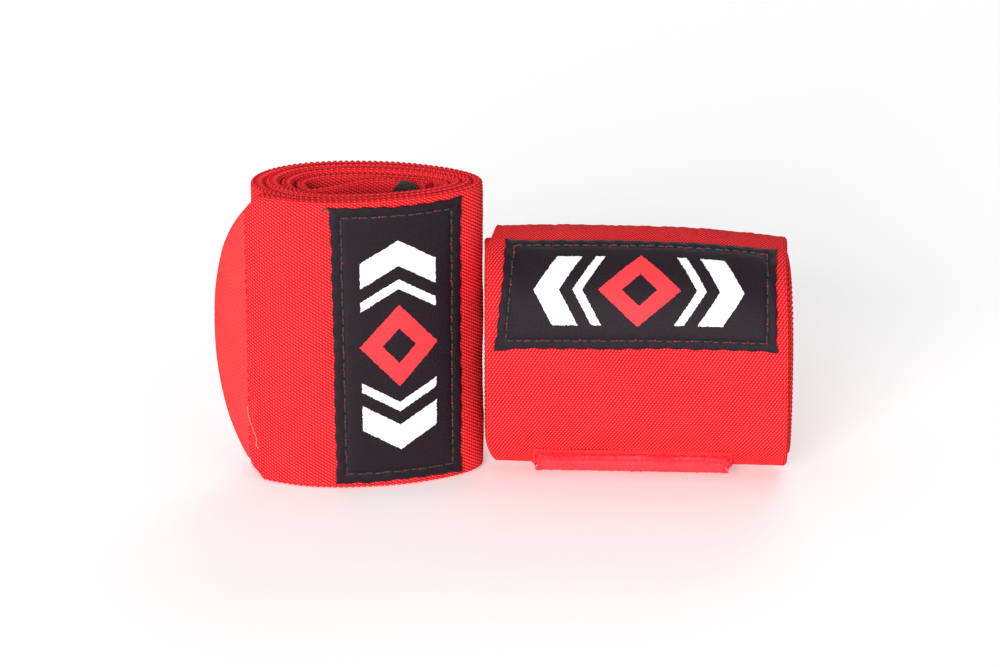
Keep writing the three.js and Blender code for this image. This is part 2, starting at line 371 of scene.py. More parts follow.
def noise(s, v, scale, seed):
    """Smooth made-up unevenness between about -1 and 1, from a few crossed waves."""
    waves = np.random.default_rng(seed)
    total = 0
    for _ in range(NOISE_WAVES):
        angle = waves.uniform(0, math.pi)
        pitch = scale * waves.uniform(0.7, 1.6)
        phase = waves.uniform(0, 2 * math.pi)
        along = s * math.cos(angle) + v * math.sin(angle)
        total = total + np.sin(2 * math.pi * along / pitch + phase)
    return total / (NOISE_WAVES / 2)


def place_piece(piece, body, replaced=None):
    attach(piece, body)
    if replaced:
        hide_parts(replaced)


# ---- The band ----
def bead_height(s, girth):
    """Height of the woven beads, from 0 to 1: staggered rib to rib, and joined most along one diagonal."""
    u = 2 * math.pi * s / COLUMN
    w = 2 * math.pi * girth / BEAD
    wave = WAVES["diagonal"] * np.cos(u / 2 + w)
    wave = wave + WAVES["other"] * np.cos(u / 2 - w)
    wave = wave + WAVES["rib"] * np.cos(u)
    return 0.5 + 0.5 * wave


def picot(s):
    """The selvedge's little scallops, from 0 to 1."""
    return np.abs(np.cos(math.pi * s / PICOT)) ** PICOT_POWER


FINE_ROWS = np.linspace(0, 1, 2 * BEADS_ACROSS + 1)
COARSE_ROWS = np.array([0, 0.4, 0.8, 1.2, 1.7, 2.3, 3.1, 4.2, 6, 9, 14, 22, 30])
EDGE_STEPS = 5
FACE_SIDE = 0.2  # points with more of a side than this are on a face, and swell with it
SWELLS = ((0.16, 34, 3), (0.05, 7, 5))  # height, scale and seed of the band's unevenness
# The elastic bunches up inside the tight bends at the tab's end of the roll.
BEND_FILL = Values(height=1.55, start=12, over=14)
# Puckers across the lying roll's top, above its label.
RIDGES = Values(pitch=1.7, height=0.09, to=27.0, over=8, seed=31)
# The standing roll's outer face is fuller towards its fold end.
FULL_END = Values(height=0.2, start=18, over=8)
# The lying roll's winding has slipped along its axis: its inner turns stick out past the outer ones' high edge.
OUTER_TURNS = Values(to=128, over=40, low=-0.2, high=-0.6)
INNER_TURNS = Values(low=-0.2, high=0.45, wander=0.2, low_wave=31, high_wave=23)
PINCH = Values(at=14, reach=14, low=2.6, high=1.2)  # its band is drawn together near the tab
# The standing roll's top edge wanders, and steps up or down as it winds inward.
TOP_EDGE = Values(wander=0.15, wave=27, rise=0.45, rise_at=95, rise_reach=40, step_over=60)
TOP_STEPS = ((0.3, 150), (-0.9, 330))


def coarse_rows():
    """Rows close together near both selvedges, as shares of the width between the rounded edges."""
    low = COARSE_ROWS / FLAT_WIDTH
    return np.concatenate([low, [0.5], 1 - low[::-1]])


def ring_profile(outer_rows):
    """The points round the band's section: share across, side (+1 outer, -1 inner), bulge and girth."""
    inner_rows = coarse_rows()[::-1]
    turn = np.linspace(0, math.pi, EDGE_STEPS + 2)[1:-1]
    edge = math.pi * (HALF_BAND + EDGE_ROUND) / 2
    share = np.concatenate([outer_rows, np.ones(EDGE_STEPS), inner_rows, np.zeros(EDGE_STEPS)])
    side = np.concatenate([np.ones(len(outer_rows)), np.cos(turn), -np.ones(len(inner_rows)), -np.cos(turn)])
    bulge = np.concatenate([np.zeros(len(outer_rows)), np.sin(turn), np.zeros(len(inner_rows)), -np.sin(turn)])
    half = len(inner_rows) // 2
    inner_girth = np.concatenate([
        FLAT_WIDTH + edge + (1 - inner_rows[:half]) * FLAT_WIDTH,
        -edge - inner_rows[half:] * FLAT_WIDTH,
    ])
    girth = np.concatenate([
        outer_rows * FLAT_WIDTH, FLAT_WIDTH + edge * turn / math.pi, inner_girth, -edge * (1 - turn / math.pi),
    ])
    return share, side, bulge, girth


def band_edges(side, s):
    """The heights of the band's two selvedges."""
    low = np.zeros_like(s)
    high = np.full_like(s, BAND_WIDTH)
    if side == "right":
        outer = 1 - smooth((s - OUTER_TURNS.to) / OUTER_TURNS.over)
        pinch = bell(s - PINCH.at, PINCH.reach)
        low = low + outer * (OUTER_TURNS.low + PINCH.low * pinch)
        high = high + outer * (OUTER_TURNS.high + PINCH.high * pinch)
        wander = INNER_TURNS.wander
        low = low + (1 - outer) * (INNER_TURNS.low + wander * np.sin(s / INNER_TURNS.low_wave))
        high = high + (1 - outer) * (INNER_TURNS.high + wander * np.sin(s / INNER_TURNS.high_wave))
    else:
        high = high + TOP_EDGE.wander * np.sin(s / TOP_EDGE.wave)
        high = high + TOP_EDGE.rise * bell(s - TOP_EDGE.rise_at, TOP_EDGE.rise_reach)
        for step, at in TOP_STEPS:
            high = high + step * smooth((s - at) / TOP_EDGE.step_over)
    return low, high


def band_swell(wrap, s, v, side, across):
    """How far the band's face stands out of its path, beyond its thickness and its beads."""
    swell = sum(height * noise(s, v, scale, seed) for height, scale, seed in SWELLS)
    if wrap.side == "right":
        fade = smooth((RIDGES.to - s) / RIDGES.over)
        return swell + RIDGES.height * fade * noise(0 * s, v, RIDGES.pitch, RIDGES.seed)
    full = smooth((across - FULL_END.start) / FULL_END.over)
    return swell + FULL_END.height * full * np.maximum(side, 0)


def band_piece(wrap, name, s, outer_rows, material, offset=0.0, half=HALF_BAND):
    """A closed stretch of band between the first and last of the lengths s."""
    share, side, bulge, girth = ring_profile(outer_rows)
    low, high = (edge[:, None] for edge in band_edges(wrap.side, s))
    v = low + EDGE_ROUND + share * (high - low - 2 * EDGE_ROUND) + EDGE_ROUND * bulge
    notch = PICOT_HEIGHT * (1 - picot(s)[:, None])
    from_top = decay((high - v).clip(0), PICOT_REACH)
    from_bottom = decay((v - low).clip(0), PICOT_REACH)
    v = v + notch * (from_bottom - from_top)
    across = wrap.xy(s)[:, :1]
    s_grid = s[:, None]
    relief = RELIEF * (bead_height(s_grid, girth) - 0.5)
    swell = band_swell(wrap, s_grid, v, side, across) * (np.abs(side) > FACE_SIDE)
    in_bend = smooth((-across - BEND_FILL.start) / BEND_FILL.over)
    fill = BEND_FILL.height * in_bend * np.minimum(side, 0) * (offset == 0)
    points = wrap.on_cloth(s_grid, offset + half * side + relief * side + fill + swell, v)
    rows, columns = points.shape[:2]
    start = np.arange(columns)[None, :]
    stop = (rows - 1) * columns + start[:, ::-1]
    faces = [grid_faces(rows, columns, closed=True), start, stop]
    return fix_normals(make_object(name, points, faces, material, cloth_values(s_grid, girth)))


LATTICE_CLEAR = 0.05  # no length on the lattice comes closer to an end than this share of a step


def lattice_lengths(start, stop):
    """Lengths every half rib between two lengths, with both ends."""
    step = COLUMN / 2
    first = math.ceil(start / step + LATTICE_CLEAR)
    last = math.floor(stop / step - LATTICE_CLEAR)
    return np.concatenate([[start], np.arange(first, last + 1) * COLUMN / 2, [stop]])


def elastic_band(wrap, material):
    side = wrap.side
    outer = band_piece(wrap, f"{side}_band_outer_turn", lattice_lengths(TAB_ROOT, OUTER_TURN_END),
                       FINE_ROWS, material)
    inner = band_piece(wrap, f"{side}_band_inner_turns", lattice_lengths(OUTER_TURN_END, wrap.end),
                       coarse_rows(), material)
    hem_half = HEM_THICKNESS / 2
    hem = band_piece(wrap, f"{side}_band_hem", lattice_lengths(wrap.end - HEM_LENGTH, wrap.end + HEM_PAST_END),
                     coarse_rows(), material, HALF_BAND + hem_half, hem_half - RELIEF / 2)
    place_piece(outer, f"{side}_roll", f"{side}_elastic_band")
    place_piece(inner, f"{side}_roll")
    place_piece(hem, f"{side}_roll")


# ---- The closing tab ----
TAB_SEAM = 1.5  # where the tab's straight seam lies along the band
TAB_BEND = Values(before=0.5, past=0.6)  # the fold's run, past the tab's root and its seam
TAB_TIP_STEPS = (0.02, 0.08, 0.18, 0.32, 0.5)
TAB_TIP_END = 0.7
TAB_EDGE = Values(round=0.9, thinnest=0.02)
TAPE = Values(ply=0.88, relief=0.25, start=0.8, over=1.2)  # the tab's thinner, smoother tape
GROOVE = Values(depth=0.35, reach=0.45)
EDGE_DIP = Values(depth=0.25, reach=0.45, inset=1.3)
TAB_SWELL = Values(height=0.1, scale=17, seed=8, over=4)
HOOK = Values(rows=30, columns=150, start=0.02, gap=0.05, thick=0.75, bristle=0.22, pitch=0.9)


def tab_half_height(s, inset=0.0):
    radius = TAB_CORNER_RADIUS - inset
    depth = TAB_CORNER_RADIUS - (s - TAB_TIP)
    rise = np.sqrt(np.maximum(radius**2 - depth**2, 0))
    return np.minimum(rise, BAND_WIDTH / 2 - inset)


def tab_grid(wrap, s, rows, inset):
    """Cloth points of a sheet cut to the tab's outline, row by row across it."""
    share = np.linspace(-1, 1, rows)
    half = tab_half_height(s, inset)
    low, high = band_edges(wrap.side, s)
    middle = (low + high) / 2
    scale = (high - low) / BAND_WIDTH
    return middle[:, None] + half[:, None] * share * scale[:, None]


def bend_at_fold(wrap, piece):
    """Bakes the piece's placing into its mesh. The fold's two ends are found, but nothing uses them."""
    start = wrap.on_cloth(TAB_ROOT + TAB_BEND.before, 0, BAND_WIDTH / 2) * MM
    end = wrap.on_cloth(TAB_SEAM + TAB_BEND.past, 0, BAND_WIDTH / 2) * MM
    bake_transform(piece)


def closure_tab(wrap, material):
    s = np.concatenate([TAB_TIP + np.array(TAB_TIP_STEPS), lattice_lengths(TAB_TIP + TAB_TIP_END, TAB_ROOT)])
    v = tab_grid(wrap, s, 2 * BEADS_ACROSS + 1, 0.0)
    s_grid = s[:, None]
    from_edge = (1 - np.abs(np.linspace(-1, 1, v.shape[1])))[None, :] * tab_half_height(s)[:, None]
    flat_share = np.clip(from_edge / TAB_EDGE.round, 0, 1)
    round_off = np.sqrt(np.clip(1 - (1 - flat_share) ** 2, TAB_EDGE.thinnest, 1))
    weave = np.clip((s_grid - TAB_SEAM + TAPE.start) / TAPE.over, TAPE.relief, 1)
    relief = RELIEF * (bead_height(s_grid, v - EDGE_ROUND) - 0.5) * weave
    half = HALF_BAND * round_off * np.where(s_grid > TAB_SEAM, 1.0, TAPE.ply)
    groove = GROOVE.depth * bell(s_grid - TAB_SEAM, GROOVE.reach)
    dip = EDGE_DIP.depth * bell(from_edge - EDGE_DIP.inset, EDGE_DIP.reach) * (s_grid < TAB_SEAM)
    swell = TAB_SWELL.height * noise(s_grid, v, TAB_SWELL.scale, TAB_SWELL.seed)
    swell = swell * smooth((TAB_ROOT - s_grid) / TAB_SWELL.over)
    top = wrap.on_cloth(s_grid, half + relief - groove - dip + swell, v)
    bottom = wrap.on_cloth(s_grid, -half + swell, v)
    tab = slab(f"{wrap.side}_tab_cloth", top, bottom, material, cloth_values(s_grid, v - EDGE_ROUND))
    bend_at_fold(wrap, tab)
    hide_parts(f"{wrap.side}_closure_tab")


def hook_patch(wrap, material):
    s = np.linspace(TAB_TIP + HOOK_INSET + HOOK.start, HOOK_TO, HOOK.rows)
    v = tab_grid(wrap, s, HOOK.columns, HOOK_INSET)
    s_grid = s[:, None]
    surface = -HALF_BAND - HOOK.gap
    rows = np.sin(s_grid * math.pi / HOOK.pitch) * np.sin(v * math.pi / HOOK.pitch)
    top = wrap.on_cloth(s_grid, surface, v)
    bottom = wrap.on_cloth(s_grid, surface - HOOK.thick - HOOK.bristle * np.abs(rows), v)
    patch = slab(f"{wrap.side}_hook_cloth", top, bottom, material, cloth_values(s_grid, v))
    place_piece(patch, f"{wrap.side}_tab", f"{wrap.side}_hook_patch")


# ---- Stitches ----
STITCH = Values(radius=0.24, points=7, wander=0.07, sink=0.25, thinnest=0.35)
NEEDLE_MARK = Values(radius=0.3, least=0.55, every=2, wander=0.12, dome=0.8, proud=0.02)


def tube(points, radius, sides=6):
    """Points and faces of a closed tube along points, with a radius for each."""
    points = np.asarray(points, float)
    ahead = np.gradient(points, axis=0)
    ahead /= np.linalg.norm(ahead, axis=1, keepdims=True) + 1e-9
    up = np.array([0.31, 0.53, 0.79])
    side = np.cross(ahead, up)
    side /= np.linalg.norm(side, axis=1, keepdims=True) + 1e-9
    lift = np.cross(side, ahead)
    angle = np.arange(sides) * 2 * math.pi / sides
    radius = np.broadcast_to(np.asarray(radius, float), (len(points),))
    ring = np.cos(angle)[None, :, None] * side[:, None] + np.sin(angle)[None, :, None] * lift[:, None]
    rings = points[:, None] + ring * radius[:, None, None]
    ends = [np.arange(sides)[None, ::-1], (len(points) - 1) * sides + np.arange(sides)[None, :]]
    return rings.reshape(-1, 3), [grid_faces(len(points), sides, closed=True)[:, ::-1], *ends]


def gather(parts):
    """Joins a list of (points, faces) into one."""
    points = []
    faces = []
    base = 0
    for p, fs in parts:
        points.append(p)
        faces += [f + base for f in fs]
        base += len(p)
    return np.concatenate(points), faces


def seam_runs(corners, pitch, closed):
    """Each straight run of a seam: its two ends, its length and its count of stitches."""
    ends = corners[1:] + corners[:1] if closed else corners[1:]
    for (s0, v0), (s1, v1) in zip(corners, ends):
        length = math.hypot(s1 - s0, v1 - v0)
        yield s0, v0, s1, v1, length, max(1, round(length / pitch))


def stitch_row(wrap, corners, surface, pitch, closed=False, fill=0.82, radius=STITCH.radius, height=0.16):
    """Stitches of one pitch along straight runs between cloth points (length, height)."""
    parts = []
    along = np.linspace(-1, 1, STITCH.points)
    arch = 1 - along**4
    thick = radius * (STITCH.thinnest + (1 - STITCH.thinnest) * np.sqrt(arch))
    up = surface - STITCH.sink + (height + STITCH.sink) * arch
    for s0, v0, s1, v1, length, count in seam_runs(corners, pitch, closed):
        for k in range(count):
            t = (k + 0.5 + along / 2 * fill) / count
            wander = rng.normal(0, STITCH.wander)
            s = s0 + (s1 - s0) * t + wander * (v1 - v0) / length
            v = v0 + (v1 - v0) * t + wander * (s1 - s0) / length
            parts.append(tube(wrap.on_cloth(s, up, v), thick))
    return parts


def needle_dots(wrap, corners, surface, pitch):
    """Small domes of the cloth under a closed seam, pulled up by the needle between stitches."""
    parts = []
    for s0, v0, s1, v1, _, count in seam_runs(corners, pitch, True):
        for k in range(0, count, NEEDLE_MARK.every):
            size = NEEDLE_MARK.radius * rng.uniform(NEEDLE_MARK.least, 1.0)
            s = s0 + (s1 - s0) * k / count + rng.normal(0, NEEDLE_MARK.wander)
            v = v0 + (v1 - v0) * k / count + rng.normal(0, NEEDLE_MARK.wander)
            share = np.array([-0.9, -0.5, 0, 0.5, 0.9])
            dome = np.sqrt(1 - share**2) * size * NEEDLE_MARK.dome
            parts.append(tube(wrap.on_cloth(s, surface + NEEDLE_MARK.proud, v + share * size), dome))
    return parts


def add_threads(name, parts, material, body, replaced=None):
    points, faces = gather(parts)
    made = make_object(name, points, faces, material, np.zeros_like(points))
    place_piece(made, body, replaced)


TAB_EDGE_SEAM = Values(surface=HALF_BAND * 0.86 - 0.12, inset=1.3, start=1.35, short=0.4, samples=60)
TAB_EDGE_STITCH = Values(length=2.7, pitch=3.0, fill=0.8, radius=0.16, height=0.02)
TAB_ROOT_SEAM = Values(low=6.5, high=69.5, deep=0.32, pitch=2.6, fill=0.6, radius=0.17)


def tab_edge_points():
    """Cloth points one stitch apart along the tab's rounded edge."""
    seam = TAB_EDGE_SEAM
    s = np.linspace(TAB_TIP + seam.start, TAB_SEAM - seam.short, seam.samples)
    half = tab_half_height(s, seam.inset)
    low = np.stack([s, BAND_WIDTH / 2 - half], -1)
    high = np.stack([s, BAND_WIDTH / 2 + half], -1)
    line = np.concatenate([low[::-1], high])
    along = np.concatenate([[0], np.cumsum(np.linalg.norm(np.diff(line, axis=0), axis=1))])
    places = np.linspace(0, along[-1], round(along[-1] / TAB_EDGE_STITCH.length) + 1)
    return list(zip(*(np.interp(places, along, line[:, k]) for k in (0, 1))))


def tab_seams(wrap, materials):
    stitch = TAB_EDGE_STITCH
    parts = stitch_row(wrap, tab_edge_points(), TAB_EDGE_SEAM.surface, stitch.pitch, fill=stitch.fill,
                       radius=stitch.radius, height=stitch.height)
    root = TAB_ROOT_SEAM
    ends = [(TAB_SEAM, root.low), (TAB_SEAM, root.high)]
    parts += stitch_row(wrap, ends, HALF_BAND - root.deep, root.pitch, fill=root.fill,
                        radius=root.radius, height=0.0)
    add_threads(f"{wrap.side}_tab_threads", parts, materials["red_thread"], f"{wrap.side}_tab",
                f"{wrap.side}_tab_stitching")
    if wrap.side == "left":
        points, faces = loose_thread(wrap, "tab")
        frayed = make_object("left_frayed_thread", points, faces, materials["frayed"], np.zeros_like(points))
        bend_at_fold(wrap, frayed)


# Ends of thread left hanging on the left wrap, as points (length, height over the face, height across).
LOOSE_ENDS = {
    "label": [(25.6, 0.4, 73.2), (24.7, 0.7, 73.9), (23.7, 0.4, 74.4), (23.0, 0.2, 74.0), (22.7, 0.1, 73.3)],
    "tab": [
        (1.6, 0.1, 19.4), (2.0, 0.35, 16.8), (3.3, 0.3, 13.6),
        (4.4, 0.4, 11.2), (4.2, 0.3, 9.4), (4.9, 0.2, 8.6),
    ],
}
LOOSE_RADIUS = {"label": 0.16, "tab": 0.11}
LOOSE_STEPS = 40


def loose_thread(wrap, seam):
    points = np.array(spline(LOOSE_ENDS[seam], LOOSE_STEPS))
    return tube(wrap.on_cloth(points[:, 0], HALF_BAND + points[:, 1], points[:, 2]), LOOSE_RADIUS[seam])


# ---- The label ----
LABEL_SEAM_INSET = 2.3
LABEL_STITCH = 2.35
LABEL_SEAM_HEIGHT = 0.16
LABEL_SIZE = (31.0, 72.2)
LABEL_CELLS = (110, 220)
LABEL_SEEDS = {"left": 11, "right": 12}
LABEL_BASE = HALF_BAND + RELIEF / 2 + 0.12
LABEL_UNDER = 0.1
EARS = Values(reach=2.5, out=0.5, up=0.2)  # the label's corners
SCALLOPS = Values(depth=0.14, wander=0.13, scale=13, reach=2.2)  # its edges, seen from above
LABEL_RISE = Values(edge=0.32, hem=0.18, hem_over=0.5, field=0.18, field_over=2.0, least=0.12)
LABEL_GROOVE = Values(depth=0.2, pull=0.12, reach=0.5)
LABEL_WAVES = Values(height=0.08, scale=9, over=1.5, ripple=0.12, ripple_at=1.3, ripple_reach=1.1)


def label_point(side, a, b):
    """Cloth points at share a from the label's first long edge to its second, and share b along them."""
    corners = LABELS[side][0] + LABELS[side][1]
    weights = ((1 - a) * (1 - b), (1 - a) * b, a * (1 - b), a * b)
    return tuple(sum(corner[k] * weight for corner, weight in zip(corners, weights)) for k in (0, 1))


def label_rise(s, v, edge, along, seed):
    """The label's height over its base: a hem round its edge, a groove under the seam, and a soft field."""
    hem = smooth(edge / LABEL_RISE.hem_over) * (edge < LABEL_SEAM_INSET)
    field = smooth((edge - LABEL_SEAM_INSET) / LABEL_RISE.field_over)
    pull = 0.5 + 0.5 * np.cos(2 * math.pi * along / LABEL_STITCH)
    depth = LABEL_GROOVE.depth + LABEL_GROOVE.pull * pull
    rise = LABEL_RISE.edge + LABEL_RISE.hem * hem + LABEL_RISE.field * field
    rise -= depth * bell(edge - LABEL_SEAM_INSET, LABEL_GROOVE.reach)
    waves = LABEL_WAVES
    rise += waves.height * noise(s, v, waves.scale, seed) * smooth(edge / waves.over)
    near_hem = decay(np.abs(edge - waves.ripple_at), waves.ripple_reach)
    rise += waves.ripple * np.sin(math.pi * along / LABEL_STITCH) * near_hem
    return np.maximum(rise, LABEL_RISE.least)


def label_scallop(along, unevenness):
    return SCALLOPS.depth * np.cos(math.pi * along / LABEL_STITCH) + SCALLOPS.wander * unevenness


def label(wrap, materials):
    """The label: flat in its middle, drawn down along its seam, and wavy along its edges."""
    seed = LABEL_SEEDS[wrap.side]
    a, b = np.meshgrid(*(np.linspace(0, 1, count) for count in LABEL_CELLS), indexing="ij")
    s, v = label_point(wrap.side, a, b)
    to_s = np.minimum(a, 1 - a) * LABEL_SIZE[0]
    to_v = np.minimum(b, 1 - b) * LABEL_SIZE[1]
    edge = np.minimum(to_s, to_v)
    ears = decay(to_s, EARS.reach) * decay(to_v, EARS.reach)
    scallop_v = label_scallop(v, noise(s * 0, v, SCALLOPS.scale, seed))
    scallop_s = label_scallop(s, noise(s, v * 0, SCALLOPS.scale, seed + 1))
    s2 = s + decay(to_s, SCALLOPS.reach) * np.sign(a - 0.5) * (scallop_v + EARS.out * ears)
    v2 = v + decay(to_v, SCALLOPS.reach) * np.sign(b - 0.5) * (scallop_s + EARS.out * ears)
    rise = label_rise(s, v, edge, np.where(to_s < to_v, v, s), seed + 2)
    lift = LABEL_BASE + EARS.up * ears
    top = wrap.on_cloth(s2, lift + rise, v2)
    bottom = wrap.on_cloth(s2, lift - LABEL_UNDER, v2)
    cloth = cloth_values((a - 0.5) * LABEL_SIZE[0], (b - 0.5) * LABEL_SIZE[1], edge)
    piece = slab(f"{wrap.side}_label_cloth", top, bottom, materials["label"], cloth)
    place_piece(piece, f"{wrap.side}_roll", f"{wrap.side}_label")
    label_seam(wrap, materials)


def label_seam(wrap, materials):
    a, b = (LABEL_SEAM_INSET / length for length in LABEL_SIZE)
    shares = [(a, b), (a, 1 - b), (1 - a, 1 - b), (1 - a, b)]
    corners = [label_point(wrap.side, *share) for share in shares]
    body = f"{wrap.side}_roll"
    surface = LABEL_BASE + LABEL_SEAM_HEIGHT
    parts = stitch_row(wrap, corners, surface, LABEL_STITCH, closed=True, height=0.1)
    if wrap.side == "left":
        parts.append(loose_thread(wrap, "label"))
    add_threads(f"{wrap.side}_label_threads", parts, materials["black_thread"], body,
                f"{wrap.side}_label_stitching")
    dots = needle_dots(wrap, corners, surface, LABEL_STITCH)
    add_threads(f"{wrap.side}_label_needle_marks", dots, materials["dot"], body)


# ---- The loop patch ----
def frame_corners(piece, inset):
    low_s = piece.start + inset
    high_s = piece.to - inset
    low_v = piece.low + inset
    high_v = piece.high - inset
    return [(low_s, low_v), (low_s, high_v), (high_s, high_v), (high_s, low_v)]


PATCH_BASE = HALF_BAND + RELIEF / 2 + 0.1
PATCH_UNDER = 0.05
PATCH_EDGE = Values(reach=1.5, round=0.9, start=0.15)
SIDE_WAVE = Values(scale=17, seed=21, out=0.6)
END_WAVE = Values(height=0.25, scale=11, seed=22)
FUZZ = ((1.0, 1.6, 23), (0.8, 0.9, 24))  # share, scale and seed of the surface's unevenness
BACKING_LOOK = Values(lift=0.0, thick=0.7, fuzz=0.02, cells=110, ripple=0.1)
PILE_LOOK = Values(lift=0.6, thick=1.35, fuzz=0.05, cells=200, ripple=0.75)
PATCH_SEAM = Values(inset=0.95, height=0.72, pitch=2.6, fill=0.8)


def patch_slab(wrap, name, piece, look, material, replaced):
    shares = np.linspace(0, 1, look.cells)
    a, b = np.meshgrid(shares, shares, indexing="ij")
    s = piece.start + (piece.to - piece.start) * a
    v = piece.low + (piece.high - piece.low) * b
    to_side = np.minimum(s - piece.start, piece.to - s)
    to_end = np.minimum(v - piece.low, piece.high - v)
    edge = np.minimum(to_side, to_end)
    near = decay(edge, PATCH_EDGE.reach)
    side_wave = noise(s * 0, v, SIDE_WAVE.scale, SIDE_WAVE.seed) + SIDE_WAVE.out
    end_wave = noise(s, v * 0, END_WAVE.scale, END_WAVE.seed)
    s2 = s + near * look.ripple * side_wave * (a < 0.5)
    v2 = v + near * END_WAVE.height * end_wave * np.sign(b - 0.5)
    fuzz = sum(share * noise(s, v, scale, seed) for share, scale, seed in FUZZ)
    rise = look.thick * smooth((edge + PATCH_EDGE.start) / PATCH_EDGE.round) + look.fuzz * fuzz
    under = PATCH_BASE + look.lift
    top = wrap.on_cloth(s2, under + np.maximum(rise, PATCH_UNDER), v2)
    bottom = wrap.on_cloth(s2, under - PATCH_UNDER, v2)
    made = slab(name, top, bottom, material, cloth_values(s, v, edge))
    place_piece(made, f"{wrap.side}_roll", replaced)
    return made


FIBRES = 2600
FIBRE = Values(inset=0.2, edge=0.3, reach=(0.3, 0.7), rise=(0.1, 0.35), bend=0.3, sunk=0.15, radius=0.06)
FLOOR_CLEAR = 0.03


def fibre_place(k):
    """A fibre's place on the pile. Two in three stand along its edges."""
    s = rng.uniform(PILE.start + FIBRE.inset, PILE.to - FIBRE.inset)
    v = rng.uniform(PILE.low + FIBRE.inset, PILE.high - FIBRE.inset)
    if k % 3 == 0:
        v = PILE.low + FIBRE.edge if rng.random() < 0.5 else PILE.high - FIBRE.edge
    elif k % 3 == 1:
        s = PILE.start + FIBRE.edge if rng.random() < 0.5 else PILE.to - FIBRE.edge
    return s, v


def pile_fibres(wrap, material):
    """Fine loops of thread standing out of the pile, thickest along its edges."""
    parts = []
    surface = PATCH_BASE + PILE_LOOK.lift + PILE_LOOK.thick - FIBRE.sunk
    t = np.linspace(-1, 1, 5)
    for k in range(FIBRES):
        s, v = fibre_place(k)
        angle = rng.uniform(0, 2 * math.pi)
        reach = rng.uniform(*FIBRE.reach)
        rise = rng.uniform(*FIBRE.rise)
        ds = math.cos(angle) * reach * t + FIBRE.bend * rng.normal()
        dv = math.sin(angle) * reach * t + FIBRE.bend * rng.normal()
        line = wrap.on_cloth(s + ds, surface + rise * (1 - t**2), v + dv)
        parts.append(tube(line, FIBRE.radius, sides=3))
    points, faces = gather(parts)
    points[:, 2] = np.maximum(points[:, 2], FLOOR_CLEAR)
    made = make_object(f"{wrap.side}_pile_fibres", points, faces, material, np.zeros_like(points))
    place_piece(made, f"{wrap.side}_roll")


def loop_patch(wrap, materials):
    side = wrap.side
    patch_slab(wrap, f"{side}_patch_backing", BACKING, BACKING_LOOK, materials["backing"],
               f"{side}_loop_patch_backing")
    pile = patch_slab(wrap, f"{side}_pile_cloth", PILE, PILE_LOOK, materials["pile"],
                      f"{side}_loop_pile_patch")
    press_flat(pile)
    pile_fibres(wrap, materials["pile"])
    seam = PATCH_SEAM
    parts = stitch_row(wrap, frame_corners(BACKING, seam.inset), PATCH_BASE + seam.height, seam.pitch,
                       closed=True, fill=seam.fill)
    add_threads(f"{side}_patch_threads", parts, materials["red_thread"], f"{side}_roll",
                f"{side}_loop_patch_stitching")


def press_flat(obj):
    """What would reach under the surface that the pair lies on is pressed flat against it."""
    co = np.zeros(len(obj.data.vertices) * 3)
    obj.data.vertices.foreach_get("co", co)
    co = co.reshape(-1, 3)
    co[:, 2] = np.maximum(co[:, 2], 0.0)
    obj.data.vertices.foreach_set("co", co.ravel())
    obj.data.update()


# ---- The hem and the thumb loop ----
HEM_SEAM = Values(from_end=10.9, low=3.0, high=73.0, height=0.12, pitch=2.6)
TACK_STITCH = Values(zigzags=13, surface=0.25, pitch=6, fill=0.98, height=0.3)


def hem_parts(wrap, materials):
    side = wrap.side
    middle = wrap.end - HEM_SEAM.from_end
    ends = [(middle, HEM_SEAM.low), (middle, HEM_SEAM.high)]
    parts = stitch_row(wrap, ends, HALF_BAND + HEM_SEAM.height, HEM_SEAM.pitch)
    add_threads(f"{side}_hem_threads", parts, materials["red_thread"], f"{side}_roll",
                f"{side}_hem_stitching")
    start = wrap.end - TACK.back - TACK.reach
    step = TACK.reach / TACK_STITCH.zigzags
    surface = HALF_BAND + HEM_THICKNESS + TACK_STITCH.surface
    bar = []
    for k in range(TACK_STITCH.zigzags):
        low = (start + 2 * k * step, TACK.low)
        high = (start + (2 * k + 1) * step, TACK.high)
        next_low = (start + (2 * k + 2) * step, TACK.low)
        for run in ([low, high], [high, next_low]):
            bar += stitch_row(wrap, run, surface, TACK_STITCH.pitch, fill=TACK_STITCH.fill,
                              height=TACK_STITCH.height)
    add_threads(f"{side}_thumb_loop_stitches", bar, materials["black_thread"], f"{side}_roll",
                f"{side}_thumb_loop_tack")


CORD_STEPS = 220


def cord_path(wrap):
    """The thumb loop's centreline in the row frame, in millimetres."""
    middle = wrap.end - TACK.back
    along = wrap.tangent(np.array([middle]))[0]
    centre = wrap.xy(np.array([middle]))[0]
    local = [
        (centre[0] + along[0] * f + along[1] * o, centre[1] + along[1] * f - along[0] * o, height)
        for f, o, height in CORD_ROUTE
    ]
    points = np.array(spline(local, CORD_STEPS))
    return settle(wrap.side, wrap.turned(points) + wrap.place)


STRANDS = 8
BRAID_PITCH = 9.0  # length of cord in one turn of a strand
BRAID = Values(step=0.45, inset=0.42, core_in=0.1, strand=0.34, out=0.12, weave=0.13)


def carried_frames(points):
    """Two directions across a curve that don't twist about it."""
    ahead = np.gradient(points, axis=0)
    ahead /= np.linalg.norm(ahead, axis=1, keepdims=True)
    side = np.cross(ahead[0], [0.2, 0.9, 0.4])
    sides = []
    for t in ahead:
        side = side - t * side.dot(t)
        side = side / np.linalg.norm(side)
        sides.append(side)
    sides = np.array(sides)
    return sides, np.cross(ahead, sides)


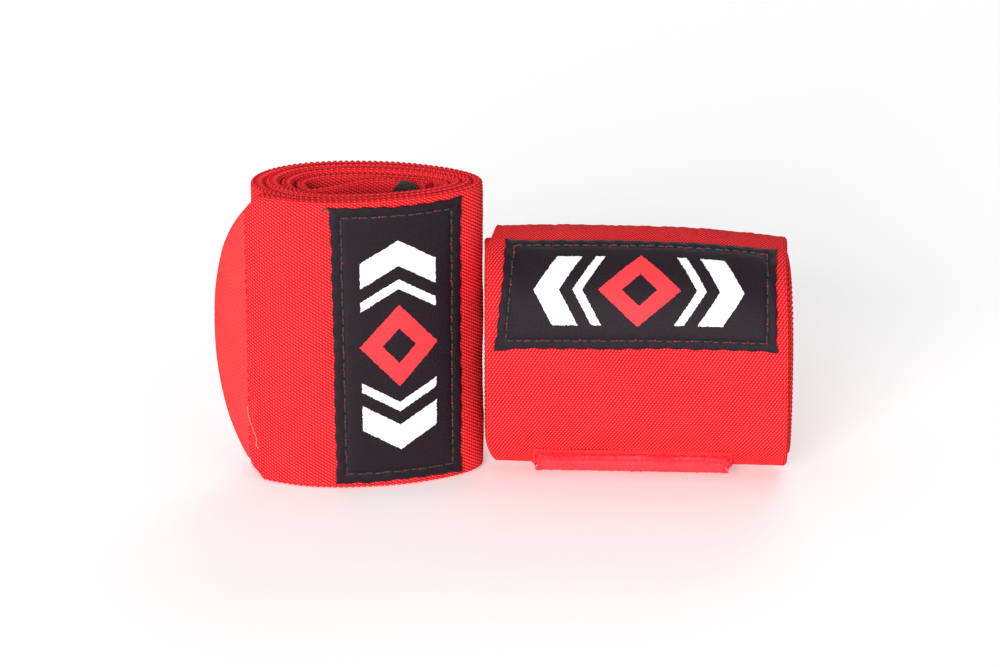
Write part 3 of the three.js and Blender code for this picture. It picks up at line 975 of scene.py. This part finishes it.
def thumb_loop(wrap, material):
    """A round braid: two sets of strands wind opposite ways, each passing over and under the other."""
    points = cord_path(wrap)
    lengths = np.concatenate([[0], np.cumsum(np.linalg.norm(np.diff(points, axis=0), axis=1))])
    total = lengths[-1]
    at = np.linspace(0, total, round(total / BRAID.step))
    centre, across, up = (
        np.stack([np.interp(at, lengths, values[:, k]) for k in range(3)], -1)
        for values in (points, *carried_frames(points))
    )
    radius = CORD_DIAMETER / 2 - BRAID.inset
    parts = [tube(centre, radius - BRAID.core_in, sides=12)]
    for way in (1, -1):
        for k in range(STRANDS):
            angle = 2 * math.pi * (k / STRANDS + way * at / BRAID_PITCH)
            weave = way * np.cos(STRANDS * 2 * math.pi * at / BRAID_PITCH + math.pi * (k % 2))
            reach = radius + BRAID.out + BRAID.weave * weave
            line = centre + (np.cos(angle) * reach)[:, None] * across + (np.sin(angle) * reach)[:, None] * up
            parts.append(tube(line, BRAID.strand))
    mesh_points, faces = gather(parts)
    made = make_object(f"{wrap.side}_thumb_cord", mesh_points, faces, material, np.zeros_like(mesh_points))
    place_piece(made, f"{wrap.side}_thumb_loop", f"{wrap.side}_thumb_loop")


# ---- Materials ----
# The elastic's colour from a bead's gap to its top: the dark gaps are painted shade, and the whitish tops are a
# painted highlight.
ELASTIC_PAINTED_SHADE_AND_HIGHLIGHT = ((0.64, 0.0, 0.01), (1.0, 0.098, 0.092))


class Nodes:
    """A material's node tree, with short calls for the maths between its sockets."""

    def __init__(self, name):
        self.material = bpy.data.materials.new(name)
        self.material.use_nodes = True
        self.tree = self.material.node_tree
        self.shader = self.tree.nodes["Principled BSDF"]

    def add(self, kind):
        return self.tree.nodes.new(f"ShaderNode{kind}")

    def put(self, socket, value):
        if isinstance(value, bpy.types.NodeSocket):
            self.tree.links.new(value, socket)
        elif isinstance(value, tuple) and len(value) == 3 and socket.type == "RGBA":
            socket.default_value = (*value, 1)
        else:
            socket.default_value = value

    def set(self, name, value):
        self.put(self.shader.inputs[name], value)

    def math(self, operation, a, b=0.0, c=0.0):
        node = self.add("Math")
        node.operation = operation
        for socket, value in zip(node.inputs, (a, b, c)):
            self.put(socket, value)
        return node.outputs[0]

    def cloth(self):
        node = self.add("Attribute")
        node.attribute_name = "cloth"
        parts = self.add("SeparateXYZ")
        self.tree.links.new(node.outputs["Vector"], parts.inputs[0])
        return parts.outputs

    def point(self, x, y, z=0.0):
        node = self.add("CombineXYZ")
        for socket, value in zip(node.inputs, (x, y, z)):
            self.put(socket, value)
        return node.outputs[0]

    def place(self):
        return self.add("TexCoord").outputs["Object"]

    def noise(self, vector, scale, detail):
        node = self.add("TexNoise")
        self.put(node.inputs["Vector"], vector)
        node.inputs["Scale"].default_value = scale
        node.inputs["Detail"].default_value = detail
        return node.outputs[0]

    def random(self, vector):
        node = self.add("TexWhiteNoise")
        self.put(node.inputs["Vector"], vector)
        return node.outputs["Value"]

    def mix(self, share, a, b):
        node = self.add("Mix")
        node.data_type = "RGBA"
        self.put(node.inputs[0], share)
        self.put(node.inputs[6], a)
        self.put(node.inputs[7], b)
        return node.outputs[2]

    def span(self, value, low, high):
        """value moved from low..high to 0..1, and held there."""
        node = self.add("MapRange")
        self.put(node.inputs[0], value)
        node.inputs[1].default_value = low
        node.inputs[2].default_value = high
        return node.outputs[0]

    def bump(self, height, distance):
        node = self.add("Bump")
        node.inputs["Strength"].default_value = 1.0
        node.inputs["Distance"].default_value = distance
        self.put(node.inputs["Height"], height)
        self.put(self.shader.inputs["Normal"], node.outputs[0])


def fabric(name, roughness=0.8, sheen=0.3, tint=(1, 1, 1), specular=0.25):
    nodes = Nodes(name)
    nodes.set("Roughness", roughness)
    nodes.set("Specular IOR Level", specular)
    nodes.set("Sheen Weight", sheen)
    nodes.set("Sheen Roughness", 0.45)
    nodes.set("Sheen Tint", tint)
    return nodes


def wave_nodes(nodes, s, girth, along, across):
    """A cosine whose crests are one apart for along ribs plus across beads."""
    u = nodes.math("MULTIPLY", s, 2 * math.pi * along)
    return nodes.math("COSINE", nodes.math("MULTIPLY_ADD", girth, 2 * math.pi * across, u))


def bead_nodes(nodes, s, girth):
    """The same beads as the mesh's relief."""
    height = 0.5
    for name, along, across in (("diagonal", 0.5, 1), ("other", 0.5, -1), ("rib", 1, 0)):
        wave = wave_nodes(nodes, s, girth, along / COLUMN, across / BEAD)
        height = nodes.math("MULTIPLY_ADD", wave, WAVES[name] / 2, height)
    return height


# Fine diagonal lines of the tab's tape, in lines per millimetre.
TWILL = Values(along=1.25, across=-1.0, depth=0.14, middle=0.62)
FIBRE_GRAIN = Values(along=9.0, across=2.5, shade=0.4, height=0.25)
CLOUD = Values(scale=0.09, shade=0.12)
# How the bead heights spread into the painted shade of the gaps and the painted highlight of the tops.
WEAVE_SPAN = (0.2, 0.9)
WEAVE_POWER = 1.4
WEAVE_BUMP = 0.00034


def elastic_material():
    nodes = fabric("red_elastic_weave", roughness=0.8, sheen=0.0, specular=0.02)
    s, girth, _ = nodes.cloth()
    beads = bead_nodes(nodes, s, girth)
    twill = wave_nodes(nodes, s, girth, TWILL.along, TWILL.across)
    tape = nodes.math("LESS_THAN", s, TAB_SEAM)
    along = nodes.math("MULTIPLY", s, FIBRE_GRAIN.along)
    across = nodes.math("MULTIPLY", girth, FIBRE_GRAIN.across)
    fibre = nodes.noise(nodes.point(along, across), 1.0, 3)
    cloud = nodes.noise(nodes.point(s, girth), CLOUD.scale, 3)
    fine = nodes.math("MULTIPLY_ADD", twill, TWILL.depth, TWILL.middle)
    height = nodes.math("MULTIPLY_ADD", nodes.math("SUBTRACT", fine, beads), tape, beads)
    lit = nodes.math("MULTIPLY_ADD", nodes.math("SUBTRACT", fibre, 0.5), FIBRE_GRAIN.shade, height)
    lit = nodes.math("MULTIPLY_ADD", nodes.math("SUBTRACT", cloud, 0.5), CLOUD.shade, lit)
    # The bead and tape twill heights paint shade into the gaps and a highlight onto the tops. The fibre grain and
    # the cloud are the cloth's own uneven tone.
    shade = nodes.math("POWER", nodes.span(lit, *WEAVE_SPAN), WEAVE_POWER)
    nodes.set("Base Color", nodes.mix(shade, *ELASTIC_PAINTED_SHADE_AND_HIGHLIGHT))
    nodes.bump(nodes.math("MULTIPLY_ADD", fibre, FIBRE_GRAIN.height, height), WEAVE_BUMP)
    return nodes.material


def plain_cloth_material(name, low, high, pitch, roughness, sheen):
    """A plain woven or brushed cloth in two shades."""
    nodes = fabric(name, roughness, sheen, tint=(1, 0.7, 0.7))
    s, v, _ = nodes.cloth()
    grain = nodes.noise(nodes.point(s, v), 1 / pitch, 3)
    cloud = nodes.noise(nodes.point(s, v), 0.12, 2)
    shade = nodes.span(nodes.math("MULTIPLY_ADD", cloud, 0.4, grain), 0.4, 1.0)
    nodes.set("Base Color", nodes.mix(shade, low, high))
    nodes.bump(grain, 0.0002)
    return nodes.material


def thread_material(name, low, high, roughness=0.55):
    nodes = fabric(name, roughness, 0.05)
    twist = nodes.noise(nodes.place(), 2600, 2)
    nodes.set("Base Color", nodes.mix(twist, low, high))
    nodes.bump(twist, 0.00006)
    return nodes.material


# The label's mark: white chevrons pointing outwards and a hollow red lozenge between them.
MARK = {"chevron": 24.3, "slope": 0.62, "half": 3.3, "thin": 16.2, "thin_half": 1.25, "tall": 9.0,
        "lozenge": (10.8, 9.4), "hollow": (4.6, 4.0)}
SATIN = Values(twill=0.6, yarn=0.33, step=0.2, bump=0.00008)  # step shifts the mark's edge
# The label's black, from its darkest to the painted sheen along the twill lines.
GROUND = ((0.0, 0.0, 0.0), (0.03, 0.019, 0.028))
WHITE = ((0.78, 0.77, 0.82), (0.9, 0.9, 0.94))
RED = ((0.72, 0.02, 0.03), (0.92, 0.07, 0.08))


def mark_nodes(nodes, s, v):
    """Where the label's mark is white and where it is red, with edges stepped from yarn to yarn."""
    weft, warp = (
        nodes.random(nodes.point(nodes.math("FLOOR", nodes.math("DIVIDE", place, SATIN.yarn)), kind))
        for place, kind in ((s, 1.0), (v, 2.0))
    )
    along = nodes.math("ABSOLUTE", nodes.math("MULTIPLY_ADD", weft, SATIN.step, v))
    across = nodes.math("ABSOLUTE", nodes.math("MULTIPLY_ADD", warp, SATIN.step, s))
    centre = nodes.math("MULTIPLY_ADD", across, MARK["slope"], along)
    chevrons = []
    for place, half in (("chevron", "half"), ("thin", "thin_half")):
        distance = nodes.math("ABSOLUTE", nodes.math("SUBTRACT", centre, MARK[place]))
        chevrons.append(nodes.math("LESS_THAN", distance, MARK[half]))
    white = nodes.math("MAXIMUM", *chevrons)
    white = nodes.math("MULTIPLY", white, nodes.math("LESS_THAN", across, MARK["tall"]))
    lozenge, hollow = (
        nodes.math("ADD", nodes.math("DIVIDE", along, a), nodes.math("DIVIDE", across, b))
        for a, b in (MARK["lozenge"], MARK["hollow"])
    )
    inside = nodes.math("LESS_THAN", lozenge, 1.0)
    return white, nodes.math("MULTIPLY", inside, nodes.math("GREATER_THAN", hollow, 1.0))


def label_material():
    nodes = fabric("black_satin_label", roughness=0.5, sheen=0.0, specular=0.12)
    s, v, _ = nodes.cloth()
    diagonal = nodes.math("MULTIPLY", nodes.math("ADD", s, v), 2 * math.pi / SATIN.twill)
    twill = nodes.math("SINE", diagonal)
    white, red = mark_nodes(nodes, s, v)
    dust = nodes.noise(nodes.point(s, v), 2.2, 4)
    # Along the twill lines the black ground is painted lighter: a painted sheen on the satin's ridges. The shine
    # on the mark is painted the same way.
    ground = nodes.mix(nodes.math("MULTIPLY_ADD", twill, 0.45, dust), *GROUND)
    shine = nodes.math("MULTIPLY_ADD", twill, 0.5, 0.5)
    colour = nodes.mix(white, ground, nodes.mix(shine, *WHITE))
    colour = nodes.mix(red, colour, nodes.mix(shine, *RED))
    nodes.set("Base Color", colour)
    thread = nodes.math("MAXIMUM", white, red)
    height = nodes.math("MULTIPLY_ADD", thread, 0.9, nodes.math("MULTIPLY", twill, 0.35))
    nodes.bump(height, SATIN.bump)
    return nodes.material


THREADS = {
    # The black thread's lighter shade is partly a painted gloss highlight, spread by the twist noise.
    "black_thread": ("black_thread_spun_painted_gloss", (0.006, 0.005, 0.006), (0.075, 0.068, 0.075), 0.4),
    "red_thread": ("red_thread_spun", (0.36, 0.0, 0.008), (0.72, 0.014, 0.022)),
    "frayed": ("red_frayed_thread", (0.9, 0.16, 0.13), (1.0, 0.3, 0.25)),
    "dot": ("red_needle_mark", (0.4, 0.0, 0.01), (0.75, 0.02, 0.03)),
    "braid": ("black_braid_cord", (0.004, 0.004, 0.005), (0.035, 0.032, 0.036), 0.6),
}
# Each plain cloth's name, its two shades, the pitch of its grain, its roughness and its sheen.
CLOTHS = {
    "backing": ("red_patch_backing", (0.7, 0.003, 0.016), (0.95, 0.03, 0.04), 0.5, 0.8, 0.05),
    "pile": ("red_loop_pile", (0.9, 0.025, 0.04), (1.0, 0.07, 0.09), 0.8, 0.95, 0.0),
    "hook": ("red_hook_tape", (0.5, 0.003, 0.012), (0.8, 0.03, 0.04), 0.45, 0.5, 0.1),
}


def make_materials():
    made = {"elastic": elastic_material(), "label": label_material()}
    made |= {key: thread_material(*look) for key, look in THREADS.items()}
    made |= {key: plain_cloth_material(*look) for key, look in CLOTHS.items()}
    return made


# ---- Stage ----
# The floor is a lit sweep, so it stays pale where the low front light only grazes it.
FLOOR = Values(glow=0.22, shade=(0.95, 0.95, 0.95), half=6000.0, top=-0.02)
WORLD_LIGHT = 0.5
LIGHT_TARGET = (0, 0, 0.035)
# Each light's place and size in metres and its power in watts.
LIGHTS = {
    "front_light": ((-0.9, -2.75, 0.68), 1.3, 94),
    "side_light": ((1.3, -2.6, 0.8), 1.0, 4),
    "back_light": ((0.5, 2.3, 1.6), 1.6, 18),
}


def area_light(name, place, size, power):
    data = bpy.data.lights.new(name, "AREA")
    data.shape = "SQUARE"
    data.size = size
    data.energy = power
    lamp = bpy.data.objects.new(name, data)
    lamp.location = place
    lamp.rotation_euler = (Vector(LIGHT_TARGET) - Vector(place)).to_track_quat("-Z", "Y").to_euler()
    bpy.context.scene.collection.objects.link(lamp)


def make_stage():
    nodes = fabric("pale_floor", roughness=0.9, sheen=0.0)
    nodes.set("Base Color", FLOOR.shade)
    nodes.set("Emission Color", (1.0, 1.0, 1.0))
    nodes.set("Emission Strength", FLOOR.glow)
    signs = ((-1, -1), (1, -1), (1, 1), (-1, 1))
    corners = [(x * FLOOR.half, y * FLOOR.half, FLOOR.top) for x, y in signs]
    floor = make_object("floor", corners, [np.array([[0, 1, 2, 3]])], nodes.material)
    world = bpy.data.worlds.new("studio")
    world.use_nodes = True
    background = world.node_tree.nodes["Background"]
    background.inputs[0].default_value = (1, 1, 1, 1)
    background.inputs[1].default_value = WORLD_LIGHT
    bpy.context.scene.world = world
    for name, light in LIGHTS.items():
        area_light(name, *light)


CAMERA = Values(
    target=(-0.00034, 0.0, 0.035), elevation=math.radians(20), distance=1.0, lens=142.0, sensor=36.0,
)


def make_camera():
    data = bpy.data.cameras.new("camera")
    data.lens = CAMERA.lens
    data.sensor_width = CAMERA.sensor
    camera = bpy.data.objects.new("camera", data)
    target = Vector(CAMERA.target)
    back = Vector((0, -math.cos(CAMERA.elevation), math.sin(CAMERA.elevation)))
    camera.location = target + back * CAMERA.distance
    camera.rotation_euler = (-back).to_track_quat("-Z", "Y").to_euler()
    bpy.context.scene.collection.objects.link(camera)
    bpy.context.scene.camera = camera


def make_wrap(side, materials):
    wrap = Wrap(side)
    thumb_loop(wrap, materials["braid"])
    elastic_band(wrap, materials["elastic"])
    closure_tab(wrap, materials["elastic"])
    hook_patch(wrap, materials["hook"])
    tab_seams(wrap, materials)
    label(wrap, materials)
    loop_patch(wrap, materials)
    hem_parts(wrap, materials)


make_camera()
make_stage()
bpy.context.scene.view_settings.view_transform = "Standard"
all_materials = make_materials()
for side_name in ("left", "right"):
    make_wrap(side_name, all_materials)
